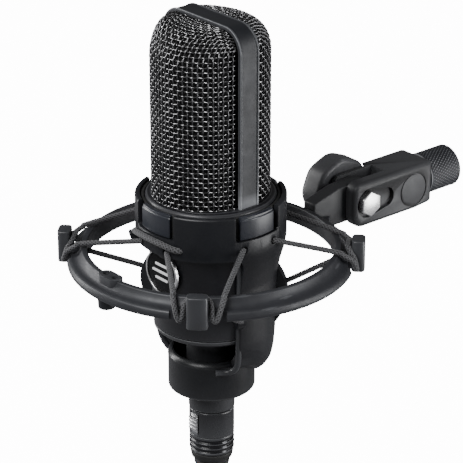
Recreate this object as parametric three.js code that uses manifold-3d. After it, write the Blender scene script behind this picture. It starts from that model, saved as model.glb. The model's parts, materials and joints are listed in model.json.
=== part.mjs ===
// A large-diaphragm condenser microphone held upright in an elastic shock mount,
// with a swivelling stand adapter and a plugged cable.
// Units are millimetres and +Z is up. The microphone's axis is Z and its front faces -Y.
// The origin is the cut end of the cable, and heights below are measured from the cradle's rim.
import * as THREE from 'three';
import { mergeVertices } from 'three/addons/utils/BufferGeometryUtils.js';
import Module from 'manifold-3d';

const wasm = await Module();
wasm.setup();

// ---------- driving dimensions ----------

const rimHeight = 185.5; // cradle rim above the cut end of the cable
const gap = 0.3; // running and resting gap between neighbouring pieces

const headTop = 74.5; // top of the grille band
const headHalfWidth = 24; // outer face of the grille band
const bandDepth = 9.6; // width of the band along Y
const bandThickness = 1.8;
const bandCorner = 10; // outer corner radius of the band
const headFoot = 0.3; // lower edge of the band, the mesh and the screen
const meshHalfWidth = 22.9; // the mesh is oval in plan
const meshHalfDepth = 25.2;
const meshTop = 73.7;
const meshSideCorner = 9.4;
const meshFrontCorner = 14;
const meshWall = 0.9;
const screenInset = 1.9; // inner screen's outside, in from the mesh's outside
const screenWall = 0.5;

const bodyRimRadius = 26.7;
const bodyTop = -6.1;
const bodyBottom = -56.8;
const bodyFootRadius = 23.8;
const neckRadius = 10.4;
const neckEndRadius = 9.7; // below the cup
const neckBottom = -97;
const socketRadius = 8.4; // bore of the neck
const badgeRadius = 9.7;
const badgeHeight = -28.8;
const pinCircle = 4;

const cradleRadius = 30.8;
const linerRadius = 27;
const windowLeft = -67; // edges of the window, in degrees from the front
const windowRight = 76;
const windowTop = -18.5;
const slotHalfAngle = 21.3;
const slotDepth = 10.6;
const padHalfAngle = 17; // pads of the liner that show in the slots
const padRadius = 29.9;
const bridgeRadius = 32.5; // cord across the front of the cradle
const bridgeHalfAngle = 27;
const bridgeHeight = -13.9;
const cordHoleAngle = 14.5; // either side of each slot's middle
const cordHoleHeight = -14.2;
const frontHoleHeight = -16.6; // the two holes under the bridge cord sit lower
const cupRadius = 18.2;
const cupHole = 12;
const cupBottom = -87.2;
const bowlStart = -58; // the bowl's lower edge rises towards the front below this height
const bowlBlend = 12;
const bowlRise = 6.2; // on the right
const bowlRiseLeft = 3.7;
const bowlFront = -3; // fully raised in front of this Y
const bowlRear = 14;

const ringInner = 50.5;
const ringWall = 53; // outer face of the ring's inner wall
const ringOuter = 58.5;
const ringTop = -23;
const ringBottom = -31;
const bossCircle = 51.6; // the two boss screws, from the microphone's axis
const bossRadius = 3;
const screwOffset = 2.8;
const postHalfWidth = 4.2;
const postHalfDepth = 2.8; // along the ring's radius
const postCircle = 60;
const postTop = -19;
const postBottom = -32.5;
const postAngles = { front_right: 45, rear_right: 135, rear_left: 225, front_left: 315 };
const cordRadius = 1.1;

const pivotY = 79.3; // tilt axis, parallel to X
const pivotZ = -24.6;
const tongueWidth = 7;
const tongueRadius = 8.6;
const forkGap = tongueWidth + 2 * gap;
const forkWidth = 19;
const farArmFace = 5.4; // outside of the far arm under the knob, from the tilt plane
const forkTop = 9.6; // above the tilt axis
const forkBottom = -10.4;
const dishDepth = 1.6;
const boltRadius = 3;
const boltHeadHeight = 3.2;
const blockRear = 37.5; // rear face of the adapter block behind the pivot
const sleeveRadius = 9.2;
const sleeveEnd = 55;
const threadRadius = 7.9;
const washerThickness = 0.6;
const knobRadius = 15;
const knobThickness = 12;

const plugRadius = 9.5;
const plugTop = neckBottom - 0.4;
const shellLength = 11.5;
const collarLength = 8.2;
const cableRadius = 3.2;

// ---------- materials ----------

function finish(color, roughness, metalness) {
  return () => new THREE.MeshStandardMaterial({ color, roughness, metalness });
}
const satinBlack = finish(0x1b1c1f, 0.42, 0.6);
const satinGrey = finish(0x35373b, 0.38, 0.7);
const moulded = finish(0x1c1d20, 0.55, 0);
const cordBlack = finish(0x202124, 0.9, 0);
const wireDark = finish(0x2a2a2c, 0.35, 0.9);
const brightSteel = finish(0xd2d3d4, 0.25, 1);
const brassYellow = finish(0xb08d57, 0.35, 1);
const goldFilm = finish(0xc9a45a, 0.3, 1);
const rubberBlack = finish(0x151515, 0.85, 0);
const boardGreen = finish(0x1f4a2c, 0.6, 0);
const badgeBlack = finish(0x0c0c0d, 0.2, 0.1);

// ---------- geometry helpers ----------

const rad = THREE.MathUtils.degToRad;

// Round body about Z from anticlockwise [radius, height] points.
function turned(profile, segments = 32) {
  const points = profile.map(([radius, height]) => new THREE.Vector2(radius, height));
  return new THREE.LatheGeometry(points, segments).rotateX(Math.PI / 2);
}

// The same, for a profile that is a closed loop away from the axis.
function turnedRing(profile, segments = 32) {
  return turned([...profile, profile[0]], segments);
}

// Points along an arc in a profile, angles in degrees.
function arc(cx, cy, radius, from, to, steps) {
  return Array.from({ length: steps + 1 }, (_, i) => {
    const angle = rad(from + ((to - from) * i) / steps);
    return [cx + radius * Math.cos(angle), cy + radius * Math.sin(angle)];
  });
}

function shapeOf(points) {
  return new THREE.Shape(points.map(([x, y]) => new THREE.Vector2(x, y)));
}

// Regular polygon around a point.
function polygon(radius, sides, cx = 0, cy = 0, turn = 0) {
  return arc(cx, cy, radius, turn, turn + 360, sides).slice(0, -1);
}

// Rectangle with softly rounded corners: a superellipse of the fourth power.
function softRectangle(halfWidth, halfDepth, sides = 24) {
  return Array.from({ length: sides }, (_, i) => {
    const angle = (2 * Math.PI * (i + 0.5)) / sides;
    const x = Math.cos(angle);
    const y = Math.sin(angle);
    const reach = (x ** 4 + y ** 4) ** -0.25;
    return [halfWidth * reach * x, halfDepth * reach * y];
  });
}

function extruded(shape, depth, bevel = 0) {
  const options = { depth: depth - 2 * bevel, bevelEnabled: bevel > 0, curveSegments: 8 };
  const rounding = { bevelThickness: bevel, bevelSize: bevel, bevelOffset: -bevel, bevelSegments: 2 };
  return new THREE.ExtrudeGeometry(shape, { ...options, ...rounding }).translate(0, 0, bevel);
}

// Shape drawn in Y and Z, extruded along +X from x.
function alongX(shape, x, depth, bevel = 0) {
  const turn = new THREE.Matrix4().makeBasis(
    new THREE.Vector3(0, 1, 0), new THREE.Vector3(0, 0, 1), new THREE.Vector3(1, 0, 0));
  return extruded(shape, depth, bevel).applyMatrix4(turn).translate(x, 0, 0);
}

// Shape drawn in X and Z, extruded along -Y from y.
function alongFront(shape, y, depth, bevel = 0) {
  return extruded(shape, depth, bevel).rotateX(Math.PI / 2).translate(0, y, 0);
}

// Part of a disc between two angles, counted from the front towards +X.
function sector(from, to, radius, low, high) {
  const rim = arc(0, 0, radius, from - 90, to - 90, 12);
  return extruded(shapeOf([[0, 0], ...rim]), high - low).translate(0, 0, low);
}

function block(width, depth, height, x, y, z) {
  return new THREE.BoxGeometry(width, depth, height).translate(x, y, z);
}

// Round bar along X, Y or Z about a centre.
function bar(axis, radius, length, x, y, z, sides = 24) {
  const geometry = new THREE.CylinderGeometry(radius, radius, length, sides);
  if (axis === 'x') geometry.rotateZ(Math.PI / 2);
  if (axis === 'z') geometry.rotateX(Math.PI / 2);
  return geometry.translate(x, y, z);
}

// Round cord through a list of points.
function cord(points, radius, steps) {
  const path = new THREE.CatmullRomCurve3(points.map((p) => new THREE.Vector3(...p)), false, 'centripetal');
  return new THREE.ExtrudeGeometry(shapeOf(polygon(radius, 5)), { steps, extrudePath: path });
}

// ---------- joining and cutting ----------

function toSolid(geometry) {
  const bare = geometry.clone();
  bare.deleteAttribute('normal');
  bare.deleteAttribute('uv');
  const merged = mergeVertices(bare, 1e-4);
  const corners = merged.index.array;
  const triVerts = [];
  for (let i = 0; i < corners.length; i += 3) {
    const [a, b, c] = corners.slice(i, i + 3);
    if (a !== b && b !== c && c !== a) triVerts.push(a, b, c);
  }
  const vertProperties = new Float32Array(merged.attributes.position.array);
  const mesh = new wasm.Mesh({ numProp: 3, vertProperties, triVerts: new Uint32Array(triVerts) });
  return new wasm.Manifold(mesh);
}

function toGeometry(solid) {
  const mesh = solid.getMesh();
  const geometry = new THREE.BufferGeometry();
  geometry.setAttribute('position', new THREE.BufferAttribute(new Float32Array(mesh.vertProperties), 3));
  geometry.setIndex(new THREE.BufferAttribute(new Uint32Array(mesh.triVerts), 1));
  return geometry;
}

function join(first, ...others) {
  return toGeometry(others.reduce((solid, other) => solid.add(toSolid(other)), toSolid(first)));
}

function cut(first, ...tools) {
  return toGeometry(tools.reduce((solid, tool) => solid.subtract(toSolid(tool)), toSolid(first)));
}

function common(first, second) {
  return toGeometry(toSolid(first).intersect(toSolid(second)));
}

// ---------- assembly ----------

const object = new THREE.Group();
const assembly = new THREE.Group();
assembly.position.z = rimHeight;
object.add(assembly);

function add(name, geometry, material, turnDegrees = 0) {
  const mesh = new THREE.Mesh(geometry, material());
  mesh.name = name;
  mesh.rotation.z = rad(turnDegrees);
  assembly.add(mesh);
}

// ---------- microphone head ----------

function archOutline(inset) {
  const half = headHalfWidth - inset;
  const top = headTop - inset;
  const corner = bandCorner - inset;
  return [
    ...arc(half - corner, top - corner, corner, 0, 90, 6),
    ...arc(corner - half, top - corner, corner, 90, 180, 6),
  ];
}

function makeGrilleFrame() {
  const half = headHalfWidth - bandThickness;
  const outer = [[headHalfWidth, headFoot], ...archOutline(0), [-headHalfWidth, headFoot]];
  const inner = [[-half, headFoot], ...archOutline(bandThickness).reverse(), [half, headFoot]];
  add('grille_frame', alongFront(shapeOf([...outer, ...inner]), bandDepth / 2, bandDepth, 0.5), satinGrey);
}

// Closed head shape, inset from the outside of the wire mesh: an oval drum whose top rolls over
// along X as the band does, and more gently along Y.
function headSolid(inset, foot) {
  const top = meshTop - inset;
  const roll = (half, corner) => shapeOf([
    [half, foot], ...arc(half - corner, top - corner, corner, 0, 90, 5),
    ...arc(corner - half, top - corner, corner, 90, 180, 5), [-half, foot],
  ]);
  const side = meshHalfWidth - inset;
  const depth = meshHalfDepth - inset;
  const tall = turned([[0, foot], [1, foot], [1, top + 1], [0, top + 1]], 36).scale(side, depth, 1);
  const across = alongFront(roll(side - gap, meshSideCorner - inset), 40, 80);
  const along = alongX(roll(depth + gap, meshFrontCorner - inset), -40, 80);
  return common(common(tall, across), along);
}

function headShell(inset, wall) {
  return cut(headSolid(inset, headFoot), headSolid(inset + wall, headFoot - 2));
}

function makeMesh() {
  const shell = headShell(0, meshWall);
  const clear = bandDepth / 2 + gap;
  add('front_mesh', cut(shell, block(80, 80, 200, 0, 40 - clear, 0)), wireDark);
  add('rear_mesh', cut(shell, block(80, 80, 200, 0, clear - 40, 0)), wireDark);
  add('inner_screen', headShell(screenInset, screenWall), wireDark);
}

function makeHeadRing() {
  const profile = [[21, -5.8], [bodyRimRadius, -5.8], [bodyRimRadius, -0.8], [26, 0], [21, 0]];
  add('head_ring', turnedRing(profile), satinBlack);
}

// Capsule: a flat drum whose axis is Y, with a gold film on each face and a saddle below.
function makeCapsule() {
  const height = 42;
  const face = (geometry, y) => geometry.rotateX(Math.PI / 2).translate(0, y, height);
  const drum = turnedRing([[13, -3.5], [16.5, -3.5], [17, -3], [17, 3], [16.5, 3.5], [13, 3.5]], 32);
  add('capsule_ring', face(drum, 0), brassYellow);
  add('backplate', bar('y', 12.6, 3, 0, 0, height), brassYellow);
  add('front_diaphragm', bar('y', 12.7, 0.4, 0, -2.6, height), goldFilm);
  add('rear_diaphragm', bar('y', 12.7, 0.4, 0, 2.6, height), goldFilm);
  const seat = cut(block(14, 10, 30, 0, 0, 12.5), bar('y', 17.3, 20, 0, 0, height, 32));
  add('capsule_saddle', seat, moulded);
  add('chassis_plate', bar('z', 20.6, 2, 0, 0, -3.6, 32), satinGrey);
}

// ---------- microphone body ----------

function makeBody() {
  const outer = [[bodyFootRadius, bodyBottom], [24.6, -30], [bodyRimRadius, bodyTop]];
  const inner = [[24.3, bodyTop], [22.3, -30], [21.6, bodyBottom]];
  const pocket = bar('y', badgeRadius + gap, 10, 0, -29.4, badgeHeight, 28);
  add('body_shell', cut(turnedRing([...outer, ...inner]), pocket), satinBlack);

  const neck = [
    [socketRadius, neckBottom], [9.3, neckBottom], [neckEndRadius, neckBottom + 0.5],
    [neckEndRadius, cupBottom], [neckRadius, cupBottom + 1.2], [neckRadius, -60],
    [22.6, -59.4], [bodyFootRadius, -58.6], [bodyFootRadius, bodyBottom - gap],
    [socketRadius, bodyBottom - gap],
  ];
  add('bottom_neck', turnedRing(neck), satinBlack);
}

function makeElectronics() {
  add('circuit_board', block(34, 1.6, 42, 0, 0, -28), boardGreen);
  add('chassis_rail_right', block(2, 6, 46, 19.5, 0, -28.5), satinGrey);
  add('chassis_rail_left', block(2, 6, 46, -19.5, 0, -28.5), satinGrey);
}

function pinPlaces() {
  return [-90, 30, 150].map((angle) => [pinCircle * Math.cos(rad(angle)), pinCircle * Math.sin(rad(angle))]);
}

function makeSocket() {
  const plate = bar('z', socketRadius - gap, 4, 0, 0, -70, 24);
  const holes = pinPlaces().map(([x, y]) => bar('z', 1.35, 20, x, y, -70, 12));
  add('socket_insert', cut(plate, ...holes), moulded);
  pinPlaces().forEach(([x, y], i) => {
    add(`socket_pin_${i + 1}`, bar('z', 1, 20, x, y, -76, 12), brightSteel);
  });
}

// Badge: a bright ring around a plain black face.
function makeBadge() {
  const face = bar('y', badgeRadius - 1.3, 1.2, 0, -25.3, badgeHeight, 28);
  const half = 0.8;
  const ring = turnedRing([
    [badgeRadius - 1, -half], [badgeRadius, -half], [badgeRadius, half], [badgeRadius - 1, half],
  ], 28);
  add('badge_face', face, badgeBlack);
  add('badge_ring', ring.rotateX(Math.PI / 2).translate(0, -25.6, badgeHeight), brightSteel);
}

// ---------- cradle ----------

// Hook that stands out of the cradle's wall over a range of angles.
function hook(from, to, profile) {
  return common(turnedRing(profile, 40), sector(from, to, 45, -62, 0));
}

// Lifts the lower edge of the bowl in front, which leaves its rear as it is.
function raiseFront(geometry) {
  const { clamp, smoothstep } = THREE.MathUtils;
  const position = geometry.attributes.position;
  for (let i = 0; i < position.count; i += 1) {
    const depth = clamp((bowlStart - position.getZ(i)) / bowlBlend, 0, 1);
    const front = 1 - smoothstep(position.getY(i), bowlFront, bowlRear);
    const rise = position.getX(i) > 0 ? bowlRise : bowlRiseLeft;
    position.setZ(i, position.getZ(i) + rise * depth * front);
  }
  return geometry;
}

function makeCradle() {
  const outer = [
    [cupRadius + gap, -78.9], [20, -78.3], [22.6, -75.6], [25, -71.6], [25.9, -67], [26.4, -60],
    [26.8, -45], [27.2, -34], [28.4, -28], [30.2, -22], [cradleRadius, windowTop],
    [cradleRadius, -0.8], [30.2, 0],
  ];
  const inner = [
    [28.6, 0], [28.6, -17], [27.4, -21], [26, -27], [25.4, -34], [24.9, -45], [24.5, -60], [23.4, -69],
    [19.6, -73.5], [cupRadius + gap, -75],
  ];
  let shell = cut(raiseFront(turnedRing([...outer, ...inner], 48)),
    sector(windowLeft, windowRight, 40, -90, windowTop));
  const lug = [
    [25.6, -57], [26.6, -57], [28.6, -54], [30.8, -49], [31.6, -45], [31.4, -40.5], [30, -36.8], [28, -33],
    [25.6, -31],
  ];
  const shortLug = [[25.6, -50], [28.4, -50], [30.4, -47.8], [30.4, -44.6], [28.4, -42.4], [25.6, -42.4]];
  const nub = [[29.6, -19.4], [31.6, -19.4], [33.6, -17.4], [33.6, -15.4], [29.6, -15.4]];
  shell = join(shell,
    hook(71, 78, shortLug), hook(-74, -61, lug), hook(130, 142, lug), hook(-142, -130, lug),
    hook(-33, -26, nub));

  const cuts = [];
  for (let slot = 0; slot < 360; slot += 90) {
    cuts.push(sector(slot - slotHalfAngle, slot + slotHalfAngle, 40, -slotDepth, 5));
    for (const side of [-1, 1]) {
      const height = slot === 0 ? frontHoleHeight : cordHoleHeight;
      const hole = bar('y', 1.6, 8, 0, -30, height, 12);
      cuts.push(hole.rotateZ(rad(slot + side * cordHoleAngle)));
    }
  }
  add('cradle_shell', cut(shell, ...cuts), moulded);

  // Liner with a pad in each slot.
  const linerOuter = linerRadius + 1.2;
  const liner = turnedRing([
    [linerRadius, -17], [linerOuter, -17], [linerOuter, -0.8], [linerRadius, -0.8],
  ], 28);
  const padLow = gap - slotDepth;
  const padRing = turnedRing([
    [linerRadius + 0.4, padLow], [padRadius, padLow], [padRadius, -1.6], [padRadius - 0.8, -0.8],
    [linerRadius + 0.4, -0.8],
  ], 40);
  const pads = [0, 90, 180, 270].map((middle) =>
    common(padRing, sector(middle - padHalfAngle, middle + padHalfAngle, 40, -20, 5)));
  add('cradle_liner', join(liner, ...pads), rubberBlack);

  const cup = [
    [cupHole, cupBottom], [cupRadius - 0.8, cupBottom], [cupRadius, cupBottom + 0.8], [cupRadius, -70.8],
    [cupRadius - 0.7, -70], [16, -70], [15.4, -71], [15.4, cupBottom + 2], [cupHole, cupBottom + 2],
  ];
  add('lock_cup', turnedRing(cup), moulded);
}

// ---------- suspension ring ----------

function makeRing() {
  const section = [
    [ringInner, ringBottom], [ringOuter, ringBottom], [ringOuter, -27.9], [58, -27.4], [56.6, -27.2],
    [54.8, -26.4], [53.5, -25], [ringWall, ringTop], [ringInner, ringTop],
  ];
  let ring = turnedRing(section, 64);

  // Boss for two small screws on the front of the inner wall.
  const boss = shapeOf([
    ...arc(screwOffset, 0, bossRadius, -90, 90, 8), ...arc(-screwOffset, 0, bossRadius, 90, 270, 8),
  ]);
  ring = join(ring, extruded(boss, ringTop + 0.6 - ringBottom).translate(0, -bossCircle, ringBottom));

  // Swivel tongue behind the ring, with a flared root.
  const nose = arc(pivotY, pivotZ, tongueRadius, -90, 90, 10);
  const tongueSide = shapeOf([
    [54, ringBottom], [62, pivotZ - tongueRadius], ...nose, [67, -16.8], [54, -20.4],
  ]);
  const tongue = alongX(tongueSide, -tongueWidth / 2, tongueWidth);
  const rootPlan = shapeOf([[-12, 54], [12, 54], [7, 58.5], [3.5, 62.5], [-3.5, 62.5], [-7, 58.5]]);
  const root = extruded(rootPlan, 3.4);
  ring = join(ring, tongue, root.translate(0, 0, ringBottom + 0.2));

  const cuts = [bar('x', boltRadius + 0.2, 20, 0, pivotY, pivotZ, 24)];
  for (const x of [-screwOffset, screwOffset]) cuts.push(bar('z', 1.4, 20, x, -bossCircle, ringTop, 12));
  for (const angle of Object.values(postAngles)) {
    const clearance = extruded(shapeOf(softRectangle(postHalfWidth + gap, postHalfDepth + gap)), 40);
    cuts.push(clearance.translate(0, -postCircle, -40).rotateZ(rad(angle)));
    for (const side of [-1, 1]) {
      const notch = block(7, 6, 20, side * 7.8, -ringOuter - 0.7, ringTop);
      cuts.push(notch.rotateZ(rad(angle)));
    }
  }
  add('suspension_ring', cut(ring, ...cuts), satinGrey);

  for (const [place, angle] of Object.entries(postAngles)) {
    const post = extruded(shapeOf(softRectangle(postHalfWidth, postHalfDepth)), postTop - postBottom, 0.5);
    add(`cord_post_${place}`, post.translate(0, -postCircle, postBottom), moulded, angle);
  }

  for (const [side, x] of [['left', -screwOffset], ['right', screwOffset]]) {
    const screw = turned([[0, -30], [1.1, -30], [1.1, -23.6], [0, -23.6]], 12);
    add(`boss_screw_${side}`, screw.translate(x, -bossCircle, 0), brightSteel);
  }
  const studTop = ringBottom - gap;
  const stud = turned([[0, -35.6], [3, -35.6], [3.6, -34.8], [3.6, studTop], [0, studTop]], 16);
  add('boss_stud', stud.translate(0, -ringInner - 3.4, 0), moulded);
}

// ---------- elastic cords ----------

// One upper cord per post: from the cradle over the ring, down in the notch beside the post,
// up behind the post, and the same way back on its other side.
function upperCordPath(rightHoleHeight, leftHoleHeight) {
  const toHole = rad(45 - cordHoleAngle);
  const holeRadius = cradleRadius + 1;
  const half = (holeHeight) => [
    [holeRadius * Math.sin(toHole), -holeRadius * Math.cos(toHole), holeHeight],
    [10.4, -51, -20.9],
    [10, -54, -22.4],
    [8.9, -57.9, -25.4],
    [8.1, -59.2, -28.2],
    [6.9, -59.5, -29.8],
    [5.7, -59.2, -28.2],
    [5.5, -58.3, -25.6],
    [4.8, -56.8, -23.6],
    [2.6, -55.9, -21.6],
  ];
  return [...half(rightHoleHeight), ...half(leftHoleHeight).map(([x, y, z]) => [-x, y, z]).reverse()];
}

function makeCords() {
  const lugs = {
    front_right: [74.5, 32, -46],
    rear_right: [136, 33.2, -39.5],
    rear_left: [224, 33.2, -39.5],
    front_left: [295, 33.2, -39.5],
  };
  for (const [place, angle] of Object.entries(postAngles)) {
    const rightHole = place === 'front_left' ? frontHoleHeight : cordHoleHeight;
    const leftHole = place === 'front_right' ? frontHoleHeight : cordHoleHeight;
    const path = upperCordPath(rightHole, leftHole);
    add(`upper_cord_${place}`, cord(path, cordRadius, 40), cordBlack, angle);
    const [lugAngle, lugReach, lugHeight] = lugs[place];
    const lug = rad(lugAngle);
    const wall = rad(angle);
    const start = [49.4 * Math.sin(wall), -49.4 * Math.cos(wall), -28.5];
    const end = [lugReach * Math.sin(lug), -lugReach * Math.cos(lug), lugHeight];
    add(`lower_cord_${place}`, cord([start, end], cordRadius, 2), cordBlack);
  }
  const bridge = arc(0, 0, bridgeRadius, -90 - bridgeHalfAngle, -90 + bridgeHalfAngle, 8);
  add('bridge_cord', cord(bridge.map(([x, y]) => [x, y, bridgeHeight]), 1.2, 16), cordBlack);
}

// ---------- stand adapter ----------

function makeAdapter() {
  const side = [
    ...arc(-3, forkBottom + 5, 5, 180, 270, 5), [28, forkBottom], [blockRear, forkBottom + 0.9],
    [blockRear, forkTop], ...arc(-4.5, forkTop - 3.5, 3.5, 90, 180, 4),
  ];
  const body = alongX(shapeOf(side), -forkWidth / 2, forkWidth, 0.8);
  const slotSide = shapeOf([[-20, -20], [13.6, -20], [13.6, 20], [-20, 20]]);
  const slot = alongX(slotSide, -forkGap / 2, forkGap);
  const dishOutline = [...arc(0, 0, 6.6, 90, 270, 8), ...arc(10, 0, 4.4, -90, 90, 8)];
  const dish = alongX(shapeOf(dishOutline), forkWidth / 2 - dishDepth, 5);
  const hole = bar('x', boltRadius + 0.2, 60, 0, 0, 0);
  const chamfers = [-1, 1].map((turn) => {
    const tool = block(12, 80, 12, 0, 10, 0).rotateY(rad(45));
    return tool.translate(turn * (forkWidth / 2 + 3.4), 0, forkTop + 3.4);
  });
  const emblem = alongX(shapeOf(polygon(7.7, 32, 26.2, -1.2)), forkWidth / 2 - 0.4, 1);
  const emblemCore = alongX(shapeOf(polygon(7.1, 32, 26.2, -1.2)), forkWidth / 2 - 1, 2);
  const socketWall = bar('y', 6, 12, 0, blockRear - 4, 0);
  const knobRecess = bar('x', knobRadius + 0.8, 10, -farArmFace - 5, 0, 0, 48);
  const cuts = [slot, dish, hole, ...chamfers, cut(emblem, emblemCore), socketWall, knobRecess];
  const adapter = cut(body, ...cuts);
  add('adapter_block', adapter.translate(0, pivotY, pivotZ), satinBlack);

  const sleeve = turnedRing([
    [threadRadius, blockRear + gap], [sleeveRadius - 0.3, blockRear + gap],
    [sleeveRadius, blockRear + gap + 0.3],
    [sleeveRadius, sleeveEnd - 0.3], [sleeveRadius - 0.3, sleeveEnd], [threadRadius, sleeveEnd],
  ]);
  add('thread_sleeve', sleeve.rotateX(-Math.PI / 2).translate(0, pivotY, pivotZ), satinGrey);
}

// Hexagon-headed bolt that clamps the fork on the tongue.
function makeBolt() {
  const seat = forkWidth / 2 - dishDepth + gap;
  const tip = -farArmFace - washerThickness - 2 * gap - knobThickness;
  const head = alongX(shapeOf(polygon(5.8, 6, 0, 0, 30)), seat, boltHeadHeight, 0.5);
  const shaft = bar('x', boltRadius, seat + 0.5 - tip, (seat + 0.5 + tip) / 2, 0, 0, 20);
  add('pivot_bolt', join(head, shaft).translate(0, pivotY, pivotZ), brightSteel);
}

function makeKnob() {
  const inner = -farArmFace - washerThickness - 2 * gap;
  const lobes = Array.from({ length: 40 }, (_, i) => {
    const angle = (i / 40) * 2 * Math.PI;
    const radius = knobRadius - 0.5 * (0.5 - 0.5 * Math.cos(8 * angle));
    return [radius * Math.cos(angle), radius * Math.sin(angle)];
  });
  const grip = alongX(shapeOf(lobes), inner - knobThickness, knobThickness, 1.6);
  const bore = bar('x', 5.6, 40, inner, 0, 0, 24);
  add('tilt_knob', cut(grip, bore).translate(0, pivotY, pivotZ), moulded);
  const bolt = boltRadius + 0.2;
  const core = turnedRing([[bolt, -5.5], [5.3, -5.5], [5.3, 5.5], [bolt, 5.5]], 24);
  const coreX = inner - knobThickness / 2;
  add('knob_insert', core.rotateY(Math.PI / 2).translate(coreX, pivotY, pivotZ), brassYellow);
  const halfWasher = washerThickness / 2;
  const washer = turnedRing([[bolt, -halfWasher], [7, -halfWasher], [7, halfWasher], [bolt, halfWasher]], 24);
  const washerX = inner + gap + halfWasher;
  add('knob_washer', washer.rotateY(Math.PI / 2).translate(washerX, pivotY, pivotZ), brightSteel);
}

// ---------- cable plug ----------

function makePlug() {
  const nose = bar('z', socketRadius - 0.5, 21, 0, 0, plugTop + gap + 10.5, 24);
  const contacts = pinPlaces().map(([x, y]) => bar('z', 1.4, 14, x, y, plugTop + gap + 14.5, 12));
  add('plug_contacts', cut(nose, ...contacts), moulded);

  const shellBottom = plugTop - shellLength;
  const shell = turnedRing([
    [5, shellBottom], [plugRadius, shellBottom], [plugRadius, plugTop - 0.4], [9.1, plugTop], [5, plugTop],
  ], 24);
  const seat = block(4.8, 7, 8.6, 0, -plugRadius, plugTop - 5.6);
  add('plug_shell', cut(shell, seat), satinBlack);

  const latchTop = plugTop - 1.6;
  const latchBottom = plugTop - 9.7;
  const ridgePitch = 1.6;
  const ridges = [0, 1, 2, 3].map((i) => latchTop - 1.2 - ridgePitch * i)
    .flatMap((z) => [[-10.9, z], [-10.3, z - 1]]);
  const outline = [[-7.4, latchBottom], [-7.4, latchTop], [-9.6, latchTop], ...ridges, [-9.6, latchBottom]];
  add('plug_latch', alongX(shapeOf(outline), -2.1, 4.2), brightSteel);

  const collarTop = shellBottom - gap;
  const collarBottom = collarTop - collarLength;
  const grooves = [6.2, 4, 1.8].map((down) => collarTop - down).flatMap((z) => [
    [plugRadius, z - 0.9], [9, z - 0.5], [9, z + 0.5], [plugRadius, z + 0.9],
  ]);
  const collar = [[5, collarBottom], [9.1, collarBottom], ...grooves, [9.3, collarTop], [5, collarTop]];
  add('plug_collar', turnedRing(collar, 24), satinBlack);

  const bootTop = collarBottom - gap;
  const boot = [
    [0, -150], [4.6, -150], [5, -149], [5.4, -140], [7, -129], [8.6, bootTop - 3.7], [9.2, bootTop - 0.5],
    [9, bootTop], [0, bootTop],
  ];
  add('cable_boot', turned(boot, 32), rubberBlack);
  const cableTop = -150 - gap;
  const cable = turned([
    [0, -rimHeight], [cableRadius, -rimHeight], [cableRadius, cableTop], [0, cableTop],
  ], 20);
  add('cable_stub', cable, rubberBlack);
}

makeGrilleFrame();
makeMesh();
makeHeadRing();
makeCapsule();
makeBody();
makeElectronics();
makeSocket();
makeBadge();
makeCradle();
makeRing();
makeCords();
makeAdapter();
makeBolt();
makeKnob();
makePlug();

export default object;
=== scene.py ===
"""Looks of the condenser microphone, its shock mount, stand adapter and cable plug.

Every outline is in millimetres, with heights measured from the cradle's rim, as in the CAD.
Angles round the microphone's axis are in degrees, from its front (-Y) towards +X.
"""
import json
import math

import bmesh
import bpy
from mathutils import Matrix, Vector


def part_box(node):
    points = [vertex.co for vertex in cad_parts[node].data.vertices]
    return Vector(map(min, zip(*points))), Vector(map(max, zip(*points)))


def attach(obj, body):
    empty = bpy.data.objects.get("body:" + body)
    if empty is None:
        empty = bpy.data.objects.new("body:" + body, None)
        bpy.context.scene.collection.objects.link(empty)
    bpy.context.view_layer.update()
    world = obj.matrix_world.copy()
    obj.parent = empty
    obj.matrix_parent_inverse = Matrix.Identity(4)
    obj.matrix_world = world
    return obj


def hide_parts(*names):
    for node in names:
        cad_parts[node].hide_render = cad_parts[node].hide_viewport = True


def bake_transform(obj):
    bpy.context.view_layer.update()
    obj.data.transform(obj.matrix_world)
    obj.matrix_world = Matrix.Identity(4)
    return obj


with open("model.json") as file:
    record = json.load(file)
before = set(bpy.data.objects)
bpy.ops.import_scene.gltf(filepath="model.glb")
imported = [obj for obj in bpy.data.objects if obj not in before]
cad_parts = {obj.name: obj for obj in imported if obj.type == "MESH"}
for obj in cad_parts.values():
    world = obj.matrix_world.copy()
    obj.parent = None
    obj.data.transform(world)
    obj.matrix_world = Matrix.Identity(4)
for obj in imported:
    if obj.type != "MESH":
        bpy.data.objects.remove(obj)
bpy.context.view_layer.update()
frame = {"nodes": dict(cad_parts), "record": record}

MM = 0.001
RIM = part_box("cradle_shell")[1][2]
PIVOT = next(j["pos_m"] for j in frame["record"]["behaviour"]["joints"] if j["name"] == "mount_tilt")
POSTS = {"front_right": 45, "rear_right": 135, "rear_left": 225, "front_left": 315}


def box_mm(node):
    """Lowest and highest corner of a CAD piece in millimetres, with heights from the rim."""
    return [(x / MM, y / MM, (z - RIM) / MM) for x, y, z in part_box(node)]


def heights(node):
    """Lowest and highest point of a CAD piece, from the rim."""
    low, high = box_mm(node)
    return low[2], high[2]


# ---------- materials ----------

# Pale grey painted on sharp edges as a highlight.
EDGE_HIGHLIGHT_COLOR = (0.32, 0.33, 0.35, 1)


def new_material(name):
    """A material, its node tree and its shader."""
    material = bpy.data.materials.new(name)
    material.use_nodes = True
    tree = material.node_tree
    return material, tree, tree.nodes["Principled BSDF"]


def noise(tree, scale, detail=4.0, stretch=(1, 1, 1)):
    """Noise in the object's own coordinates, with scale in features per metre."""
    coords = tree.nodes.new("ShaderNodeTexCoord")
    mapping = tree.nodes.new("ShaderNodeMapping")
    mapping.inputs["Scale"].default_value = stretch
    texture = tree.nodes.new("ShaderNodeTexNoise")
    texture.inputs["Scale"].default_value = scale
    texture.inputs["Detail"].default_value = detail
    tree.links.new(coords.outputs["Object"], mapping.inputs["Vector"])
    tree.links.new(mapping.outputs["Vector"], texture.inputs["Vector"])
    return texture.outputs["Fac"]


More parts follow.
